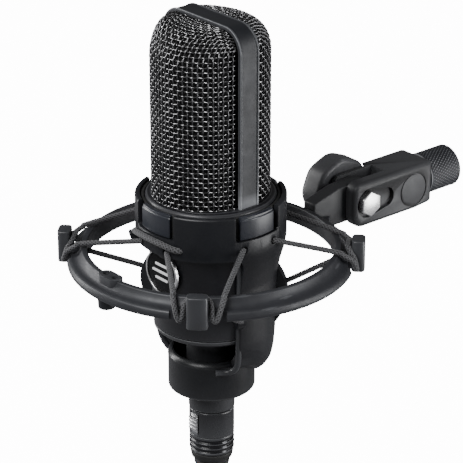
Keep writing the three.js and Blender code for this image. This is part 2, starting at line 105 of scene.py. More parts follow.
def ramp(tree, value, low, high, low_at=0.3, high_at=0.7):
    """Colour or grey that runs from low to high as the value rises."""
    node = tree.nodes.new("ShaderNodeValToRGB")
    node.color_ramp.elements[0].position = low_at
    node.color_ramp.elements[1].position = high_at
    node.color_ramp.elements[0].color = low if isinstance(low, tuple) else (low, low, low, 1)
    node.color_ramp.elements[1].color = high if isinstance(high, tuple) else (high, high, high, 1)
    tree.links.new(value, node.inputs["Fac"])
    return node.outputs["Color"]


def bump(tree, shader, height, distance):
    """Relief in the surface, with distance in metres."""
    node = tree.nodes.new("ShaderNodeBump")
    node.inputs["Distance"].default_value = distance
    node.inputs["Strength"].default_value = 1.0
    tree.links.new(height, node.inputs["Height"])
    tree.links.new(node.outputs["Normal"], shader.inputs["Normal"])


def shades(color, spread):
    """A darker and a lighter version of a colour."""
    return [tuple(c * share for c in color) + (1,) for share in (1 - spread, 1 + spread)]


def coated(name, color, rough, grain, depth, edge=0.0, coat=0.0, shine=0.5, metallic=0.0):
    """Painted or moulded surface with fine grain of a depth in metres, and a painted highlight on its edges.
    """
    material, tree, shader = new_material(name)
    dark, light = shades(color, 0.14)
    base = ramp(tree, noise(tree, 90, 3), dark, light)
    if edge:
        # Painted highlight: sharp edges, found by their pointiness, are lightened towards a pale grey.
        geometry = tree.nodes.new("ShaderNodeNewGeometry")
        edge_highlight_mask = ramp(tree, geometry.outputs["Pointiness"], 0.0, edge, 0.51, 0.56)
        mix = tree.nodes.new("ShaderNodeMix")
        mix.data_type = "RGBA"
        mix.inputs["B"].default_value = EDGE_HIGHLIGHT_COLOR
        tree.links.new(edge_highlight_mask, mix.inputs["Factor"])
        tree.links.new(base, mix.inputs["A"])
        base = mix.outputs["Result"]
    tree.links.new(base, shader.inputs["Base Color"])
    tree.links.new(ramp(tree, noise(tree, 260), rough * 0.88, rough * 1.12), shader.inputs["Roughness"])
    shader.inputs["Metallic"].default_value = metallic
    shader.inputs["Specular IOR Level"].default_value = shine
    shader.inputs["Coat Weight"].default_value = coat
    shader.inputs["Coat Roughness"].default_value = 0.3
    bump(tree, shader, noise(tree, grain, 6), depth)
    return material


def brushed(name, color, rough, stretch=(1, 1, 1)):
    """Bare or plated metal with fine lines, drawn out by the stretch along X, Y and Z."""
    material, tree, shader = new_material(name)
    lines = noise(tree, 2600, 3, stretch)
    dark = tuple(c * 0.8 for c in color) + (1,)
    tree.links.new(ramp(tree, lines, dark, color + (1,)), shader.inputs["Base Color"])
    tree.links.new(ramp(tree, lines, rough * 0.75, rough * 1.25), shader.inputs["Roughness"])
    shader.inputs["Metallic"].default_value = 1.0
    bump(tree, shader, lines, 0.000006)
    return material


def braid_material():
    """Cord sheath: the strand attribute says how high each point sits on the braid, and its colour follows
    it: painted shade in the gaps, painted highlight on the strands' crowns.
    """
    material, tree, shader = new_material("braided_cord")
    strand = tree.nodes.new("ShaderNodeAttribute")
    strand.attribute_name = "strand"
    # Painted shade and highlight: low points of the braid near black, high points lighter.
    color = ramp(tree, strand.outputs["Fac"], (0.003, 0.003, 0.004, 1), (0.085, 0.085, 0.092, 1), 0.6, 1.0)
    tree.links.new(color, shader.inputs["Base Color"])
    shader.inputs["Roughness"].default_value = 0.72
    shader.inputs["Sheen Weight"].default_value = 0.15
    bump(tree, shader, noise(tree, 9000, 6), 0.00004)
    return material


def screen_material():
    """Fine inner gauze, seen only between the wires."""
    material, tree, shader = new_material("fine_gauze")
    coords = tree.nodes.new("ShaderNodeTexCoord")
    waves = []
    for direction in ("X", "Z"):
        wave = tree.nodes.new("ShaderNodeTexWave")
        wave.bands_direction = direction
        wave.inputs["Scale"].default_value = 620
        tree.links.new(coords.outputs["Object"], wave.inputs["Vector"])
        waves.append(wave.outputs["Fac"])
    both = tree.nodes.new("ShaderNodeMath")
    both.operation = "MULTIPLY"
    tree.links.new(waves[0], both.inputs[0])
    tree.links.new(waves[1], both.inputs[1])
    color = ramp(tree, both.outputs["Value"], (0.003, 0.003, 0.003, 1), (0.035, 0.035, 0.038, 1), 0.1, 0.9)
    tree.links.new(color, shader.inputs["Base Color"])
    shader.inputs["Roughness"].default_value = 0.6
    shader.inputs["Metallic"].default_value = 0.6
    bump(tree, shader, both.outputs["Value"], 0.00015)
    return material


# After the colour: roughness, grain per metre, its depth, painted edge highlight, clear coat and shine.
POWDER = coated("satin_powder_coat", (0.008, 0.008, 0.010), 0.36, 3600, 0.000012, 0.5, 0.08, 0.25)
BLOCK_COAT = coated("adapter_coat", (0.008, 0.008, 0.009), 0.42, 3600, 0.000012, 0.12, 0.0, 0.22)
BAND = coated("satin_grey_coat", (0.013, 0.014, 0.017), 0.48, 4200, 0.00001, 0.7, 0.05, 0.35, metallic=0.2)
RING_COAT = coated("ring_coat", (0.024, 0.025, 0.029), 0.46, 3800, 0.000012, 0.1, 0.0, 0.4, metallic=0.2)
PLASTIC = coated("moulded_plastic", (0.0085, 0.009, 0.011), 0.40, 2400, 0.00002, 0.0, 0.06, 0.32)
CUP_COAT = coated("turned_cup", (0.008, 0.0085, 0.010), 0.36, 2400, 0.00001, 0.5, 0.08, 0.32)
# Lighter than the body's powder coat: painted light on the neck, which sits in the body's shadow.
NECK_PAINTED_LIGHT_COAT = coated("turned_neck_painted_light", (0.030, 0.031, 0.034), 0.42, 3600, 0.00001, 0.3, 0.05, 0.4)
# Grey plastic of the posts; on the window beads, which belong to the darker cradle, it is a painted
# highlight.
GREY_PLASTIC_AND_BEAD_HIGHLIGHT = coated("grey_plastic_and_bead_highlight", (0.020, 0.021, 0.024), 0.38, 2400, 0.00001, 0.1, 0.1, 0.4)
KNOB_PLASTIC = coated("knob_plastic", (0.060, 0.061, 0.066), 0.45, 2400, 0.00002, 0.10, 0.0, 0.4)
PAD = coated("slot_pad", (0.014, 0.016, 0.022), 0.32, 2600, 0.000006, 0.0, 0.15, 0.4)
RUBBER = coated("black_rubber", (0.008, 0.008, 0.008), 0.7, 3000, 0.00005)
ENAMEL = coated("badge_enamel", (0.002, 0.002, 0.0025), 0.5, 1500, 0.000003, shine=0.12)
PAINT = coated("light_paint", (0.70, 0.70, 0.71), 0.4, 3000, 0.000004)
LATCH_STEEL = coated("latch_steel", (0.60, 0.60, 0.61), 0.34, 3000, 0.000002, metallic=1.0)
PLUG_COAT = coated("plug_coat", (0.0045, 0.0045, 0.006), 0.28, 3600, 0.000004, 0.6, 0.1, 0.35)
BOARD = coated("solder_mask", (0.03, 0.12, 0.05), 0.35, 1200, 0.00003)
# The level wires are a lighter copy of the same wire metal: painted highlight for the light they catch from
# above.
WARP = brushed("upright_wire", (0.15, 0.15, 0.155), 0.30)
WEFT_PAINTED_HIGHLIGHT = brushed("level_wire_painted_highlight", (0.26, 0.26, 0.265), 0.24)
STEEL = brushed("plated_steel", (0.88, 0.88, 0.88), 0.28, (1, 12, 1))
BRASS = brushed("turned_brass", (0.69, 0.55, 0.34), 0.30, (12, 1, 1))
GOLD = brushed("gold_film", (0.85, 0.66, 0.32), 0.22)
BRAID = braid_material()
GAUZE = screen_material()


# ---------- mesh helpers ----------

RELIEF_DEPTH = 0.16


def place(obj, body, nodes=()):
    """Fixes a piece to a body and hides the CAD pieces it stands for."""
    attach(obj, body)
    if nodes:
        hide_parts(*nodes)


def shade(mesh, sharp):
    """Smooth shading, broken where faces meet at more than the sharp angle."""
    mesh.shade_smooth()
    mesh.set_sharp_from_angle(angle=math.radians(sharp))


def mesh_object(name, points, faces, material, sharp=38):
    """Object from millimetre points, with smooth shading between faces under the sharp angle."""
    mesh = bpy.data.meshes.new(name)
    mesh.from_pydata([(x * MM, y * MM, RIM + z * MM) for x, y, z in points], [], faces)
    work = bmesh.new()
    work.from_mesh(mesh)
    bmesh.ops.remove_doubles(work, verts=work.verts, dist=1e-7)
    bmesh.ops.recalc_face_normals(work, faces=work.faces)
    work.to_mesh(mesh)
    work.free()
    shade(mesh, sharp)
    mesh.materials.append(material)
    obj = bpy.data.objects.new(name, mesh)
    bpy.context.scene.collection.objects.link(obj)
    return obj


def polar(radius, angle, z):
    """Point at an angle round the microphone's axis."""
    turn = math.radians(angle)
    return (radius * math.sin(turn), -radius * math.cos(turn), z)


def turned_about_z(points, angle):
    cosine = math.cos(math.radians(angle))
    sine = math.sin(math.radians(angle))
    return [(x * cosine - y * sine, x * sine + y * cosine, z) for x, y, z in points]


def arc(cx, cy, radius, start, end, steps):
    """Points of a circle's arc in a plane, with angles in degrees."""
    turns = [math.radians(start + (end - start) * i / steps) for i in range(steps + 1)]
    return [(cx + radius * math.cos(t), cy + radius * math.sin(t)) for t in turns]


def rounded(points, radius, closed=True, steps=4):
    """The outline with each corner replaced by a small curve."""
    out = []
    count = len(points)
    for i, corner in enumerate(points):
        if not closed and i in (0, count - 1):
            out.append(corner)
            continue
        here = Vector(corner)
        before = Vector(points[i - 1]) - here
        after = Vector(points[(i + 1) % count]) - here
        reach = min(radius, 0.45 * before.length, 0.45 * after.length)
        a = here + before.normalized() * reach
        b = here + after.normalized() * reach
        for step in range(steps + 1):
            t = step / steps
            out.append(tuple(a * (1 - t) ** 2 + here * 2 * t * (1 - t) + b * t ** 2))
    return out


def grid_faces(rows, columns, wrap_rows, wrap_columns):
    """Quads over a grid of points, joined round where it wraps."""
    faces = []
    for r in range(rows if wrap_rows else rows - 1):
        for c in range(columns if wrap_columns else columns - 1):
            next_r = (r + 1) % rows
            next_c = (c + 1) % columns
            below = r * columns
            above = next_r * columns
            faces.append((below + c, below + next_c, above + next_c, above + c))
    return faces


def bar_faces(rows, columns):
    """Faces of a bar made of rings of points, with a cap at each end."""
    last = (rows - 1) * columns
    caps = [tuple(range(columns)), tuple(range(last, last + columns))]
    return grid_faces(rows, columns, False, True) + caps


def lathe(name, profile, material, corner=0.4, segments=96, closed=True, centre=(0, 0)):
    """Turned piece about a vertical axis. An open profile starts and ends on the axis."""
    outline = rounded(profile, corner, closed)
    points = []
    for radius, z in outline:
        for i in range(segments):
            x, y, _ = polar(radius, 360 * i / segments, z)
            points.append((centre[0] + x, centre[1] + y, z))
    return mesh_object(name, points, grid_faces(len(outline), segments, closed, True), material)


def lay_along(axis, obj, x, y, z):
    """Lays a turned piece that was made at the rim's origin along X or Y, at a place."""
    for vertex in obj.data.vertices:
        px, py, pz = vertex.co.x, vertex.co.y, vertex.co.z - RIM
        px, py, pz = (pz, py, px) if axis == "X" else (px, pz, py)
        vertex.co = (x * MM + px, y * MM + py, RIM + z * MM + pz)
    obj.data.flip_normals()
    return obj


def sector(name, profile, start, end, material, corner=0.5, steps=24):
    """Part of a turned piece between two angles, closed at both ends."""
    outline = rounded(profile, corner)
    points = []
    for i in range(steps + 1):
        points += [polar(radius, start + (end - start) * i / steps, z) for radius, z in outline]
    return mesh_object(name, points, bar_faces(steps + 1, len(outline)), material)


def prism(name, outline, low, high, axis, material, edge=0.5, sharp=38):
    """Outline extruded along an axis: X draws in Y and Z, Y draws in X and Z, Z draws in X and Y."""
    points = []
    for w in (low, high):
        for u, v in outline:
            points.append({"X": (w, u, v), "Y": (u, w, v), "Z": (u, v, w)}[axis])
    obj = mesh_object(name, points, bar_faces(2, len(outline)), material, sharp)
    if edge:
        bevel(obj, edge)
    return obj


def apply_modifiers(obj):
    """Replaces a piece's mesh by what its modifiers make of it."""
    depsgraph = bpy.context.evaluated_depsgraph_get()
    mesh = bpy.data.meshes.new_from_object(obj.evaluated_get(depsgraph))
    obj.modifiers.clear()
    obj.data = mesh


def bevel(obj, width, angle=35, segments=3):
    """Rounds the edges where faces meet at more than the angle."""
    modifier = obj.modifiers.new("edge", "BEVEL")
    modifier.width = width * MM
    modifier.segments = segments
    modifier.limit_method = "ANGLE"
    modifier.angle_limit = math.radians(angle)
    apply_modifiers(obj)
    shade(obj.data, 40)


def boolean(obj, tools, operation="DIFFERENCE"):
    """Cuts the tools out of a piece or joins them to it, and removes them."""
    for tool in tools:
        modifier = obj.modifiers.new("cut", "BOOLEAN")
        modifier.operation = operation
        modifier.solver = "EXACT"
        modifier.object = tool
    apply_modifiers(obj)
    for tool in tools:
        bpy.data.objects.remove(tool, do_unlink=True)
    shade(obj.data, 38)


def spline(points, per_span=10):
    """Smooth curve through the points."""
    vectors = [Vector(p) for p in points]
    ends = [vectors[0] * 2 - vectors[1]] + vectors + [vectors[-1] * 2 - vectors[-2]]
    out = []
    for i in range(1, len(ends) - 2):
        a, b, c, d = ends[i - 1:i + 3]
        for step in range(per_span):
            t = step / per_span
            out.append(0.5 * ((2 * b) + (c - a) * t + (2 * a - 5 * b + 4 * c - d) * t ** 2
                              + (3 * b - a - 3 * c + d) * t ** 3))
    out.append(vectors[-1])
    return out


def even_spacing(path, step):
    """Points along a path at equal distances."""
    out = [path[0].copy()]
    left = step
    for a, b in zip(path, path[1:]):
        span = (b - a).length
        done = 0.0
        while span - done >= left:
            done += left
            out.append(a.lerp(b, done / span))
            left = step
        left -= span - done
    out.append(path[-1].copy())
    return out


def walk(path):
    """Each point of a path, with two directions across it that turn as little as they can."""
    side = (path[1] - path[0]).normalized().orthogonal().normalized()
    for i, here in enumerate(path):
        ahead = path[min(i + 1, len(path) - 1)]
        behind = path[max(i - 1, 0)]
        tangent = (ahead - behind).normalized()
        side = (side - tangent * side.dot(tangent)).normalized()
        yield here, side, tangent.cross(side)


def tube(name, path, radius, material, sides=20, relief=None):
    """Bar along a path. relief(length, turn) gives a height of 0 to 1, kept as the strand attribute."""
    points = []
    levels = []
    length = 0.0
    behind = path[0]
    for here, side, other in walk(path):
        length += (here - behind).length
        behind = here
        for k in range(sides):
            turn = 2 * math.pi * k / sides
            level = relief(length, turn) if relief else 0.5
            reach = radius * (1 + RELIEF_DEPTH * (level - 0.5))
            points.append(tuple(here + (side * math.cos(turn) + other * math.sin(turn)) * reach))
            levels.append(level)
    obj = mesh_object(name, points, bar_faces(len(path), sides), material, 60)
    if relief:
        attribute = obj.data.attributes.new("strand", "FLOAT", "POINT")
        attribute.data.foreach_set("value", levels)
    return obj


# ---------- microphone head ----------

BAND_BOX = box_mm("grille_frame")
BAND_HALF = BAND_BOX[1][0]
BAND_DEPTH = BAND_BOX[1][1] - BAND_BOX[0][1]
HEAD_TOP = BAND_BOX[1][2]
MESH_SIDE = 22.9
MESH_DEPTH = 25.2
MESH_TOP = HEAD_TOP - 0.8
SIDE_CORNER = 9.4
FRONT_CORNER = 14.0
MESH_EDGE = BAND_DEPTH / 2 + 0.1
PITCH = 2.0
WIRE_RADIUS = 0.30
WIRE_INSET = 0.65
WIRE_START = 0.6
CRIMP = 0.30
SCREEN_INSET = 2.0
SCREEN_THICK = 0.4


def grille_frame():
    """Arched band with softly rounded edges and a shallow channel along its outside."""
    half = BAND_DEPTH / 2
    rim = half - 1.1
    thick = 1.8
    channel = 0.3
    section = [
        (0, -half), (-thick, -half), (-thick, half), (0, half), (0, rim + 0.3), (-channel, rim),
        (-channel, -rim), (0, -rim - 0.3),
    ]
    section = rounded(section, 0.7)
    corner = 10.0
    leg = [0.3 + 6.0 * i for i in range(10)]
    path = [(BAND_HALF, z) for z in leg]
    path += arc(BAND_HALF - corner, HEAD_TOP - corner, corner, 0, 90, 16)
    path += arc(corner - BAND_HALF, HEAD_TOP - corner, corner, 90, 180, 16)
    path += [(-BAND_HALF, z) for z in reversed(leg)]
    points = []
    for i, (x, z) in enumerate(path):
        ahead = path[min(i + 1, len(path) - 1)]
        behind = path[max(i - 1, 0)]
        along = Vector((ahead[0] - behind[0], ahead[1] - behind[1])).normalized()
        outward = Vector((along.y, -along.x))
        points += [(x + outward.x * out, y, z + outward.y * out) for out, y in section]
    band = mesh_object("grille_band", points, bar_faces(len(path), len(section)), BAND, 30)
    place(band, "cradle", ["grille_frame"])


def head_surface(inset, edge):
    """Front half of the head, inset from the outside of its wires and ending at y = -edge.

    Gives the point at (u, v), the length of v at u, and how far u reaches round each side.
    u runs round the oval plan and v runs up the wall and over the top.
    """
    side = MESH_SIDE - inset
    deep = MESH_DEPTH - inset
    roll = SIDE_CORNER - inset

    def across(u):
        turn = u / deep
        for _ in range(3):
            turn = u / math.hypot(side * math.cos(turn / 2), deep * math.sin(turn / 2))
        x = side * math.sin(turn)
        depth = deep * math.cos(turn)
        past = max(abs(x) - (side - 0.3 - roll), 0.0)
        top = MESH_TOP - inset - roll + math.sqrt(max(roll ** 2 - past ** 2, 0.0))
        corner = max(min(FRONT_CORNER - inset, depth - edge), 0.01)
        return x, depth, top, corner

    def point(u, v):
        x, depth, top, corner = across(u)
        rise = top - corner
        if v < rise:
            return Vector((x, -depth, v))
        bend = (v - rise) / corner
        if bend < math.pi / 2:
            return Vector((x, -depth + corner * (1 - math.cos(bend)), rise + corner * math.sin(bend)))
        run = v - rise - corner * math.pi / 2
        return Vector((x, min(-depth + corner + run, -edge), top))

    def length(u):
        _, depth, top, corner = across(u)
        return top - corner + corner * math.pi / 2 + max(depth - corner - edge, 0.0)

    last = math.acos(edge / deep)
    reach = last * math.hypot(side * math.cos(last / 2), deep * math.sin(last / 2))
    return point, length, reach


def surface_normal(point, u, v):
    """Outward direction of the head at (u, v), from the points close by."""
    step = 0.05
    across = point(u + step, v) - point(u - step, v)
    along = point(u, v + step) - point(u, v - step)
    normal = across.cross(along)
    if normal.length < 1e-9:
        return Vector((0, -1, 0))
    return normal.normalized()


def add_wire(path, sides, points, faces):
    """Adds one wire to a shared list of points and faces."""
    base = len(points)
    for here, side, other in walk(path):
        for k in range(sides):
            turn = 2 * math.pi * k / sides
            points.append(here + (side * math.cos(turn) + other * math.sin(turn)) * WIRE_RADIUS)
    for face in bar_faces(len(path), sides):
        faces.append(tuple(base + i for i in face))


def woven_mesh(name, node, flip):
    """One half of the grille, woven from separate wires. flip is -1 for the rear half."""
    point, length, reach = head_surface(WIRE_INSET, MESH_EDGE)
    points = []
    faces = []

    def weave(samples, lift):
        path = [point(u, v) + surface_normal(point, u, v) * lift(u, v) for u, v in samples]
        add_wire(path, 6, points, faces)

    step = PITCH / 4
    warps = int((reach - 0.3) / PITCH)
    for i in range(-warps, warps + 1):
        u = i * PITCH
        count = int((length(u) - WIRE_START) / step)
        samples = [(u, WIRE_START + k * step) for k in range(count + 1)]
        weave(samples, lambda u, v: CRIMP * math.cos(math.pi * ((v - WIRE_START) / PITCH + i)))
    first_weft = len(faces)
    around = [k * step for k in range(-warps * 4 - 2, warps * 4 + 3)]
    for j in range(int((length(0) - WIRE_START) / PITCH) + 1):
        v = WIRE_START + j * PITCH
        samples = [(u, v) for u in around if length(u) >= v]
        if len(samples) > 3:
            weave(samples, lambda u, v: -CRIMP * math.cos(math.pi * (u / PITCH + j)))
    wires = mesh_object(name, [(p.x * flip, p.y * flip, p.z) for p in points], faces, WARP, 80)
    # Level wires take the lighter copy of the wire metal, a painted highlight.
    wires.data.materials.append(WEFT_PAINTED_HIGHLIGHT)
    for polygon in wires.data.polygons:
        polygon.material_index = int(polygon.index >= first_weft)
    place(wires, "cradle", [node])


def gauze_screen(name, flip, nodes):
    """Thin sheet behind one half of the wires."""
    rows = 56
    columns = 60
    points = []
    for inset in (SCREEN_INSET, SCREEN_INSET + SCREEN_THICK):
        point, length, reach = head_surface(inset, 0.2)
        for r in range(rows + 1):
            for c in range(columns + 1):
                u = reach * (2 * c / columns - 1)
                p = point(u, 0.4 + (length(u) - 0.4) * r / rows)
                points.append((p.x * flip, p.y * flip, p.z))
    inner = (rows + 1) * (columns + 1)
    sheet = grid_faces(rows + 1, columns + 1, False, False)
    faces = sheet + [tuple(inner + i for i in quad) for quad in sheet]
    border = list(range(columns))
    border += [r * (columns + 1) + columns for r in range(rows)]
    border += [rows * (columns + 1) + c for c in range(columns, 0, -1)]
    border += [r * (columns + 1) for r in range(rows, 0, -1)]
    for a, b in zip(border, border[1:] + border[:1]):
        faces.append((a, b, inner + b, inner + a))
    screen = mesh_object(name, points, faces, GAUZE, 60)
    place(screen, "cradle", nodes)


def head():
    """The band, both halves of the woven grille with their screens, and the ring they stand on."""
    grille_frame()
    woven_mesh("front_wire_mesh", "front_mesh", 1)
    woven_mesh("rear_wire_mesh", "rear_mesh", -1)
    gauze_screen("front_gauze", 1, ["inner_screen"])
    gauze_screen("rear_gauze", -1, [])
    ring = [(21, -5.7), (26.7, -5.7), (26.7, -0.8), (26, 0), (24.6, 0), (24.4, 0.25), (21, 0.25)]
    place(lathe("grille_base_ring", ring, POWDER, 0.5), "cradle", ["head_ring"])


# ---------- microphone body ----------

BADGE_BOX = box_mm("badge_ring")
BADGE_RADIUS = BADGE_BOX[1][0]
BADGE_FRONT = BADGE_BOX[0][1]
BADGE_Z = (BADGE_BOX[0][2] + BADGE_BOX[1][2]) / 2


def body():
    """Tapered shell, and the turned base and neck under it."""
    shell = [(21.6, -56.8), (23.8, -56.8), (24.6, -30), (26.7, -18), (26.7, -6.1), (24.3, -6.1), (22.3, -30)]
    place(lathe("tapered_body", shell, POWDER, 0.5, 128), "cradle", ["body_shell"])
    foot = heights("bottom_neck")[0]
    neck = [
        (8.4, foot), (9.4, foot), (9.7, foot + 0.5), (9.7, -88.2), (10.4, -87), (10.4, -60.4), (22.4, -59.6),
        (23.8, -58.4), (23.8, -57.1), (8.4, -57.1),
    ]
    # The neck's lighter coat is painted light in the body's shadow.
    place(lathe("neck_and_base", neck, NECK_PAINTED_LIGHT_COAT, 0.5), "cradle", ["bottom_neck"])


def badge():
    """Bright ring round a black enamel face that carries three level bars."""
    outer = BADGE_RADIUS
    inner = outer - 0.75
    ring = lathe("badge_rim", [(inner, -0.8), (outer, -0.8), (outer, 0.8), (inner, 0.8)], STEEL, 0.3, 64)
    lay_along("Y", ring, 0, BADGE_FRONT + 0.8, BADGE_Z)
    place(ring, "cradle", ["badge_ring"])
    edge = inner - 0.1
    face_profile = [(0, -0.5), (edge, -0.5), (edge, 0.5), (0, 0.5)]
    face = lathe("badge_enamel_face", face_profile, ENAMEL, 0.1, 64, closed=False)
    lay_along("Y", face, 0, BADGE_FRONT + 1.0, BADGE_Z)
    place(face, "cradle", ["badge_face"])
    thick = 0.55
    for name, lift, half in (("upper", 3.0, 3.4), ("middle", 0.0, 5.2), ("lower", -3.0, 3.4)):
        outline = arc(half, lift, thick, -90, 90, 6) + arc(-half, lift, thick, 90, 270, 6)
        outline = [(x, BADGE_Z + z) for x, z in outline]
        bar = prism("badge_bar_" + name, outline, BADGE_FRONT + 0.2, BADGE_FRONT + 0.9, "Y", PAINT, 0.12)
        place(bar, "cradle")


# ---------- cradle ----------

CRADLE_OUTSIDE = [
    (18.6, -78.6), (20.2, -78.0), (22.6, -75.6), (25.0, -71.6), (25.9, -67), (26.4, -60), (26.8, -45),
    (27.2, -34), (28.4, -28), (30.0, -22.5), (30.8, -18), (30.8, -0.6), (30.2, 0),
]
CRADLE_INSIDE = [
    (28.6, 0), (28.6, -17), (27.4, -21), (26, -27), (25.4, -34), (24.9, -45), (24.5, -60), (23.4, -69),
    (19.8, -73.5), (18.6, -75),
]
WINDOW_LEFT = -67
WINDOW_RIGHT = 76
WINDOW_TOP = -18.5
SLOT_HALF = 21.3
SLOT_BOTTOM = -10.6
HOLE_ANGLE = 14.5
HOLE_Z = -14.2
FRONT_HOLE_Z = -16.6
PAD_HALF = 17
BOWL_RISE_RIGHT = 6.2
BOWL_RISE_LEFT = 3.7


def corner_dip(distance, radius):
    """How far a rounded corner stands in from a straight edge."""
    if distance >= radius:
        return 0.0
    return radius - math.sqrt(max(radius ** 2 - (radius - distance) ** 2, 0.0))


def radial_cutter(start, end, low, high, low_corner, high_corner):
    """Wedge between two angles, with rounded lower or upper corners, to cut the cradle's wall with."""
    inner = 14
    outer = 45
    middle = CRADLE_OUTSIDE[-1][0]
    steps = 60
    points = []
    for i in range(steps + 1):
        share = 0.5 - 0.5 * math.cos(math.pi * i / steps)
        angle = start + (end - start) * share
        distance = math.radians(min(angle - start, end - angle)) * middle
        bottom = low + corner_dip(distance, low_corner) if low_corner else low
        top = high - corner_dip(distance, high_corner) if high_corner else high
        points += [polar(inner, angle, bottom), polar(outer, angle, bottom)]
        points += [polar(outer, angle, top), polar(inner, angle, top)]
    return mesh_object("cutter", points, bar_faces(steps + 1, 4), PLASTIC)


def bowl_lift(x, y, z):
    """How far the bowl's lower wall stands up beside the window, more on the right than on the left."""
    down = min(max((-58 - z) / 12, 0.0), 1.0)
    back = min(max((y + 3) / 17, 0.0), 1.0)
    rise = BOWL_RISE_RIGHT if x > 0 else BOWL_RISE_LEFT
    return rise * down * (1 - back * back * (3 - 2 * back))


def cradle_shell():
    """Tapered bowl with a front window, four slots in its rim, and holes for the cords."""
    shell = lathe("cradle_body", CRADLE_OUTSIDE + CRADLE_INSIDE, PLASTIC, 0.9, 144)
    for vertex in shell.data.vertices:
        x, y, z = vertex.co.x / MM, vertex.co.y / MM, (vertex.co.z - RIM) / MM
        vertex.co.z += bowl_lift(x, y, z) * MM
    cutters = [radial_cutter(WINDOW_LEFT, WINDOW_RIGHT, -95, WINDOW_TOP, 0, 4.5)]
    for middle in (0, 90, 180, 270):
        cutters.append(radial_cutter(middle - SLOT_HALF, middle + SLOT_HALF, SLOT_BOTTOM, 5, 1.2, 0))
        for side in (-1, 1):
            angle = middle + side * HOLE_ANGLE
            height = FRONT_HOLE_Z if middle == 0 else HOLE_Z
            inner = Vector(polar(26, angle, height))
            outer = Vector(polar(34, angle, height))
            cutters.append(tube("cutter", [inner, (inner + outer) / 2, outer], 1.6, PLASTIC, 24))
    boolean(shell, cutters)
    bevel(shell, 0.35, 50, 2)
    place(shell, "cradle", ["cradle_shell"])


def window_bead():
    """Bead along the window's inner edge. Its right end curls over the cup as a hook."""
    top = [(28.6, -8, -19.6), (27.6, -3.5, -20.4), (26.9, -1.2, -23.4), (25.9, 0.3, -31), (25.4, 0.3, -40)]
    top += [(25.1, 0.3, -50), (24.9, 0.3, -60)]
    hook = [(24.6, 0.2, -66), (23.3, -0.6, -70), (21.5, -3.6, -72.1), (20.1, -10, -72.8), (19.9, -21, -72.8)]
    tail = [(24.5, 0.2, -66.5), (23.2, 0.2, -71), (21.4, 0.2, -73.8), (19.9, 0.2, -75.4)]
    for name, edge, side, end in (("right", WINDOW_RIGHT, 1, hook), ("left", WINDOW_LEFT, -1, tail)):
        curve = spline([polar(radius, edge + side * turn, z) for radius, turn, z in top + end], 8)
        # The bead's lighter grey than the cradle is a painted highlight along the window's edge.
        bead = tube("window_bead_" + name, even_spacing(curve, 0.7), 1.25, GREY_PLASTIC_AND_BEAD_HIGHLIGHT, 16)
        place(bead, "cradle")


def cradle_hooks():
    """Lugs that catch the lower cords, and a nub under the left end of the bridge cord."""
    lug = [
        (25.6, -57), (26.6, -57), (28.6, -54), (30.8, -49), (31.6, -45), (31.4, -40.5), (30, -36.8),
        (28, -33), (25.6, -31),
    ]
    short_lug = [(25.6, -50), (28.4, -50), (30.4, -47.8), (30.4, -44.6), (28.4, -42.4), (25.6, -42.4)]
    nub = [(29.6, -19.4), (31.6, -19.4), (33.6, -17.4), (33.6, -15.4), (29.6, -15.4)]
    places = {
        "lug_front_right": (short_lug, 71, 78), "lug_rear_right": (lug, 130, 142),
        "lug_rear_left": (lug, 218, 230), "lug_front_left": (lug, 286, 299), "cord_nub": (nub, -33, -26),
    }
    for name, (profile, start, end) in places.items():
        place(sector(name, profile, start, end, PLASTIC, 1.2), "cradle")


def slot_pads():
    """Liner with a softly edged pad that fills the middle of each slot."""
    liner = [(27, -17), (28.2, -17), (28.2, -0.9), (27, -0.9)]
    place(lathe("soft_liner", liner, RUBBER, 0.3), "cradle", ["cradle_liner"])
    low = SLOT_BOTTOM + 0.3
    pad = [(27.6, low), (29.9, low), (29.9, -2.0), (29.5, -1.7), (29.5, -0.8), (27.6, -0.8)]
    for name, middle in (("front", 0), ("right", 90), ("rear", 180), ("left", 270)):
        piece = sector("slot_pad_" + name, pad, middle - PAD_HALF, middle + PAD_HALF, PAD, 0.3)
        bevel(piece, 0.3, 50, 2)
        place(piece, "cradle")


def lock_cup():
    """Open cup under the cradle, with a rolled lip and a small chamfer round its bottom."""
    wall = box_mm("lock_cup")[1][0]
    foot = heights("lock_cup")[0]
    cup = [
        (12, foot), (wall - 0.9, foot), (wall - 0.1, foot + 0.8), (wall - 0.1, -73.6), (wall, -72.8),
        (wall, -72), (wall - 0.5, -70.9), (wall - 1.4, -70.1), (15.9, -70), (15.2, -71), (15.2, foot + 2),
        (12, foot + 2),
    ]
    place(lathe("bottom_cup", cup, CUP_COAT, 0.5), "cradle", ["lock_cup"])


# ---------- suspension ring ----------

RING_TOP = -23
RING_BOTTOM = -31
RING_PROFILE = [
    (50.5, RING_BOTTOM), (58.5, RING_BOTTOM), (58.9, -29.4), (58.3, -27.6), (57.2, -27.0), (55.9, -26.8),
    (54.8, -26.2), (53.9, -25.2), (53.3, -24.0), (52.9, RING_TOP), (50.5, RING_TOP),
]
SCREW_RADIUS = 1.1
SCREW_OFFSET = 2.8
BOSS_CIRCLE = -box_mm("boss_screw_left")[0][1] - SCREW_RADIUS
BOSS_RADIUS = 3
NOTCH_MIDDLE = 7.8
NOTCH_HALF = 3.5
PIVOT_Y = PIVOT[1] / MM
PIVOT_Z = (PIVOT[2] - RIM) / MM
TONGUE_RADIUS = 8.6
TONGUE_HALF = 3.5
POST_CIRCLE = 60.0
POST_WIDE = 4.2
POST_DEEP = 2.8


def block(x_range, y_range, z_range, angle=0.0):
    """Box to cut with, turned about the microphone's axis."""
    corners = [(x_range[i], y_range[j], 0) for i, j in ((0, 0), (1, 0), (1, 1), (0, 1))]
    outline = [(x, y) for x, y, _ in turned_about_z(corners, angle)]
    return prism("cutter", outline, *z_range, "Z", PLASTIC, 0)


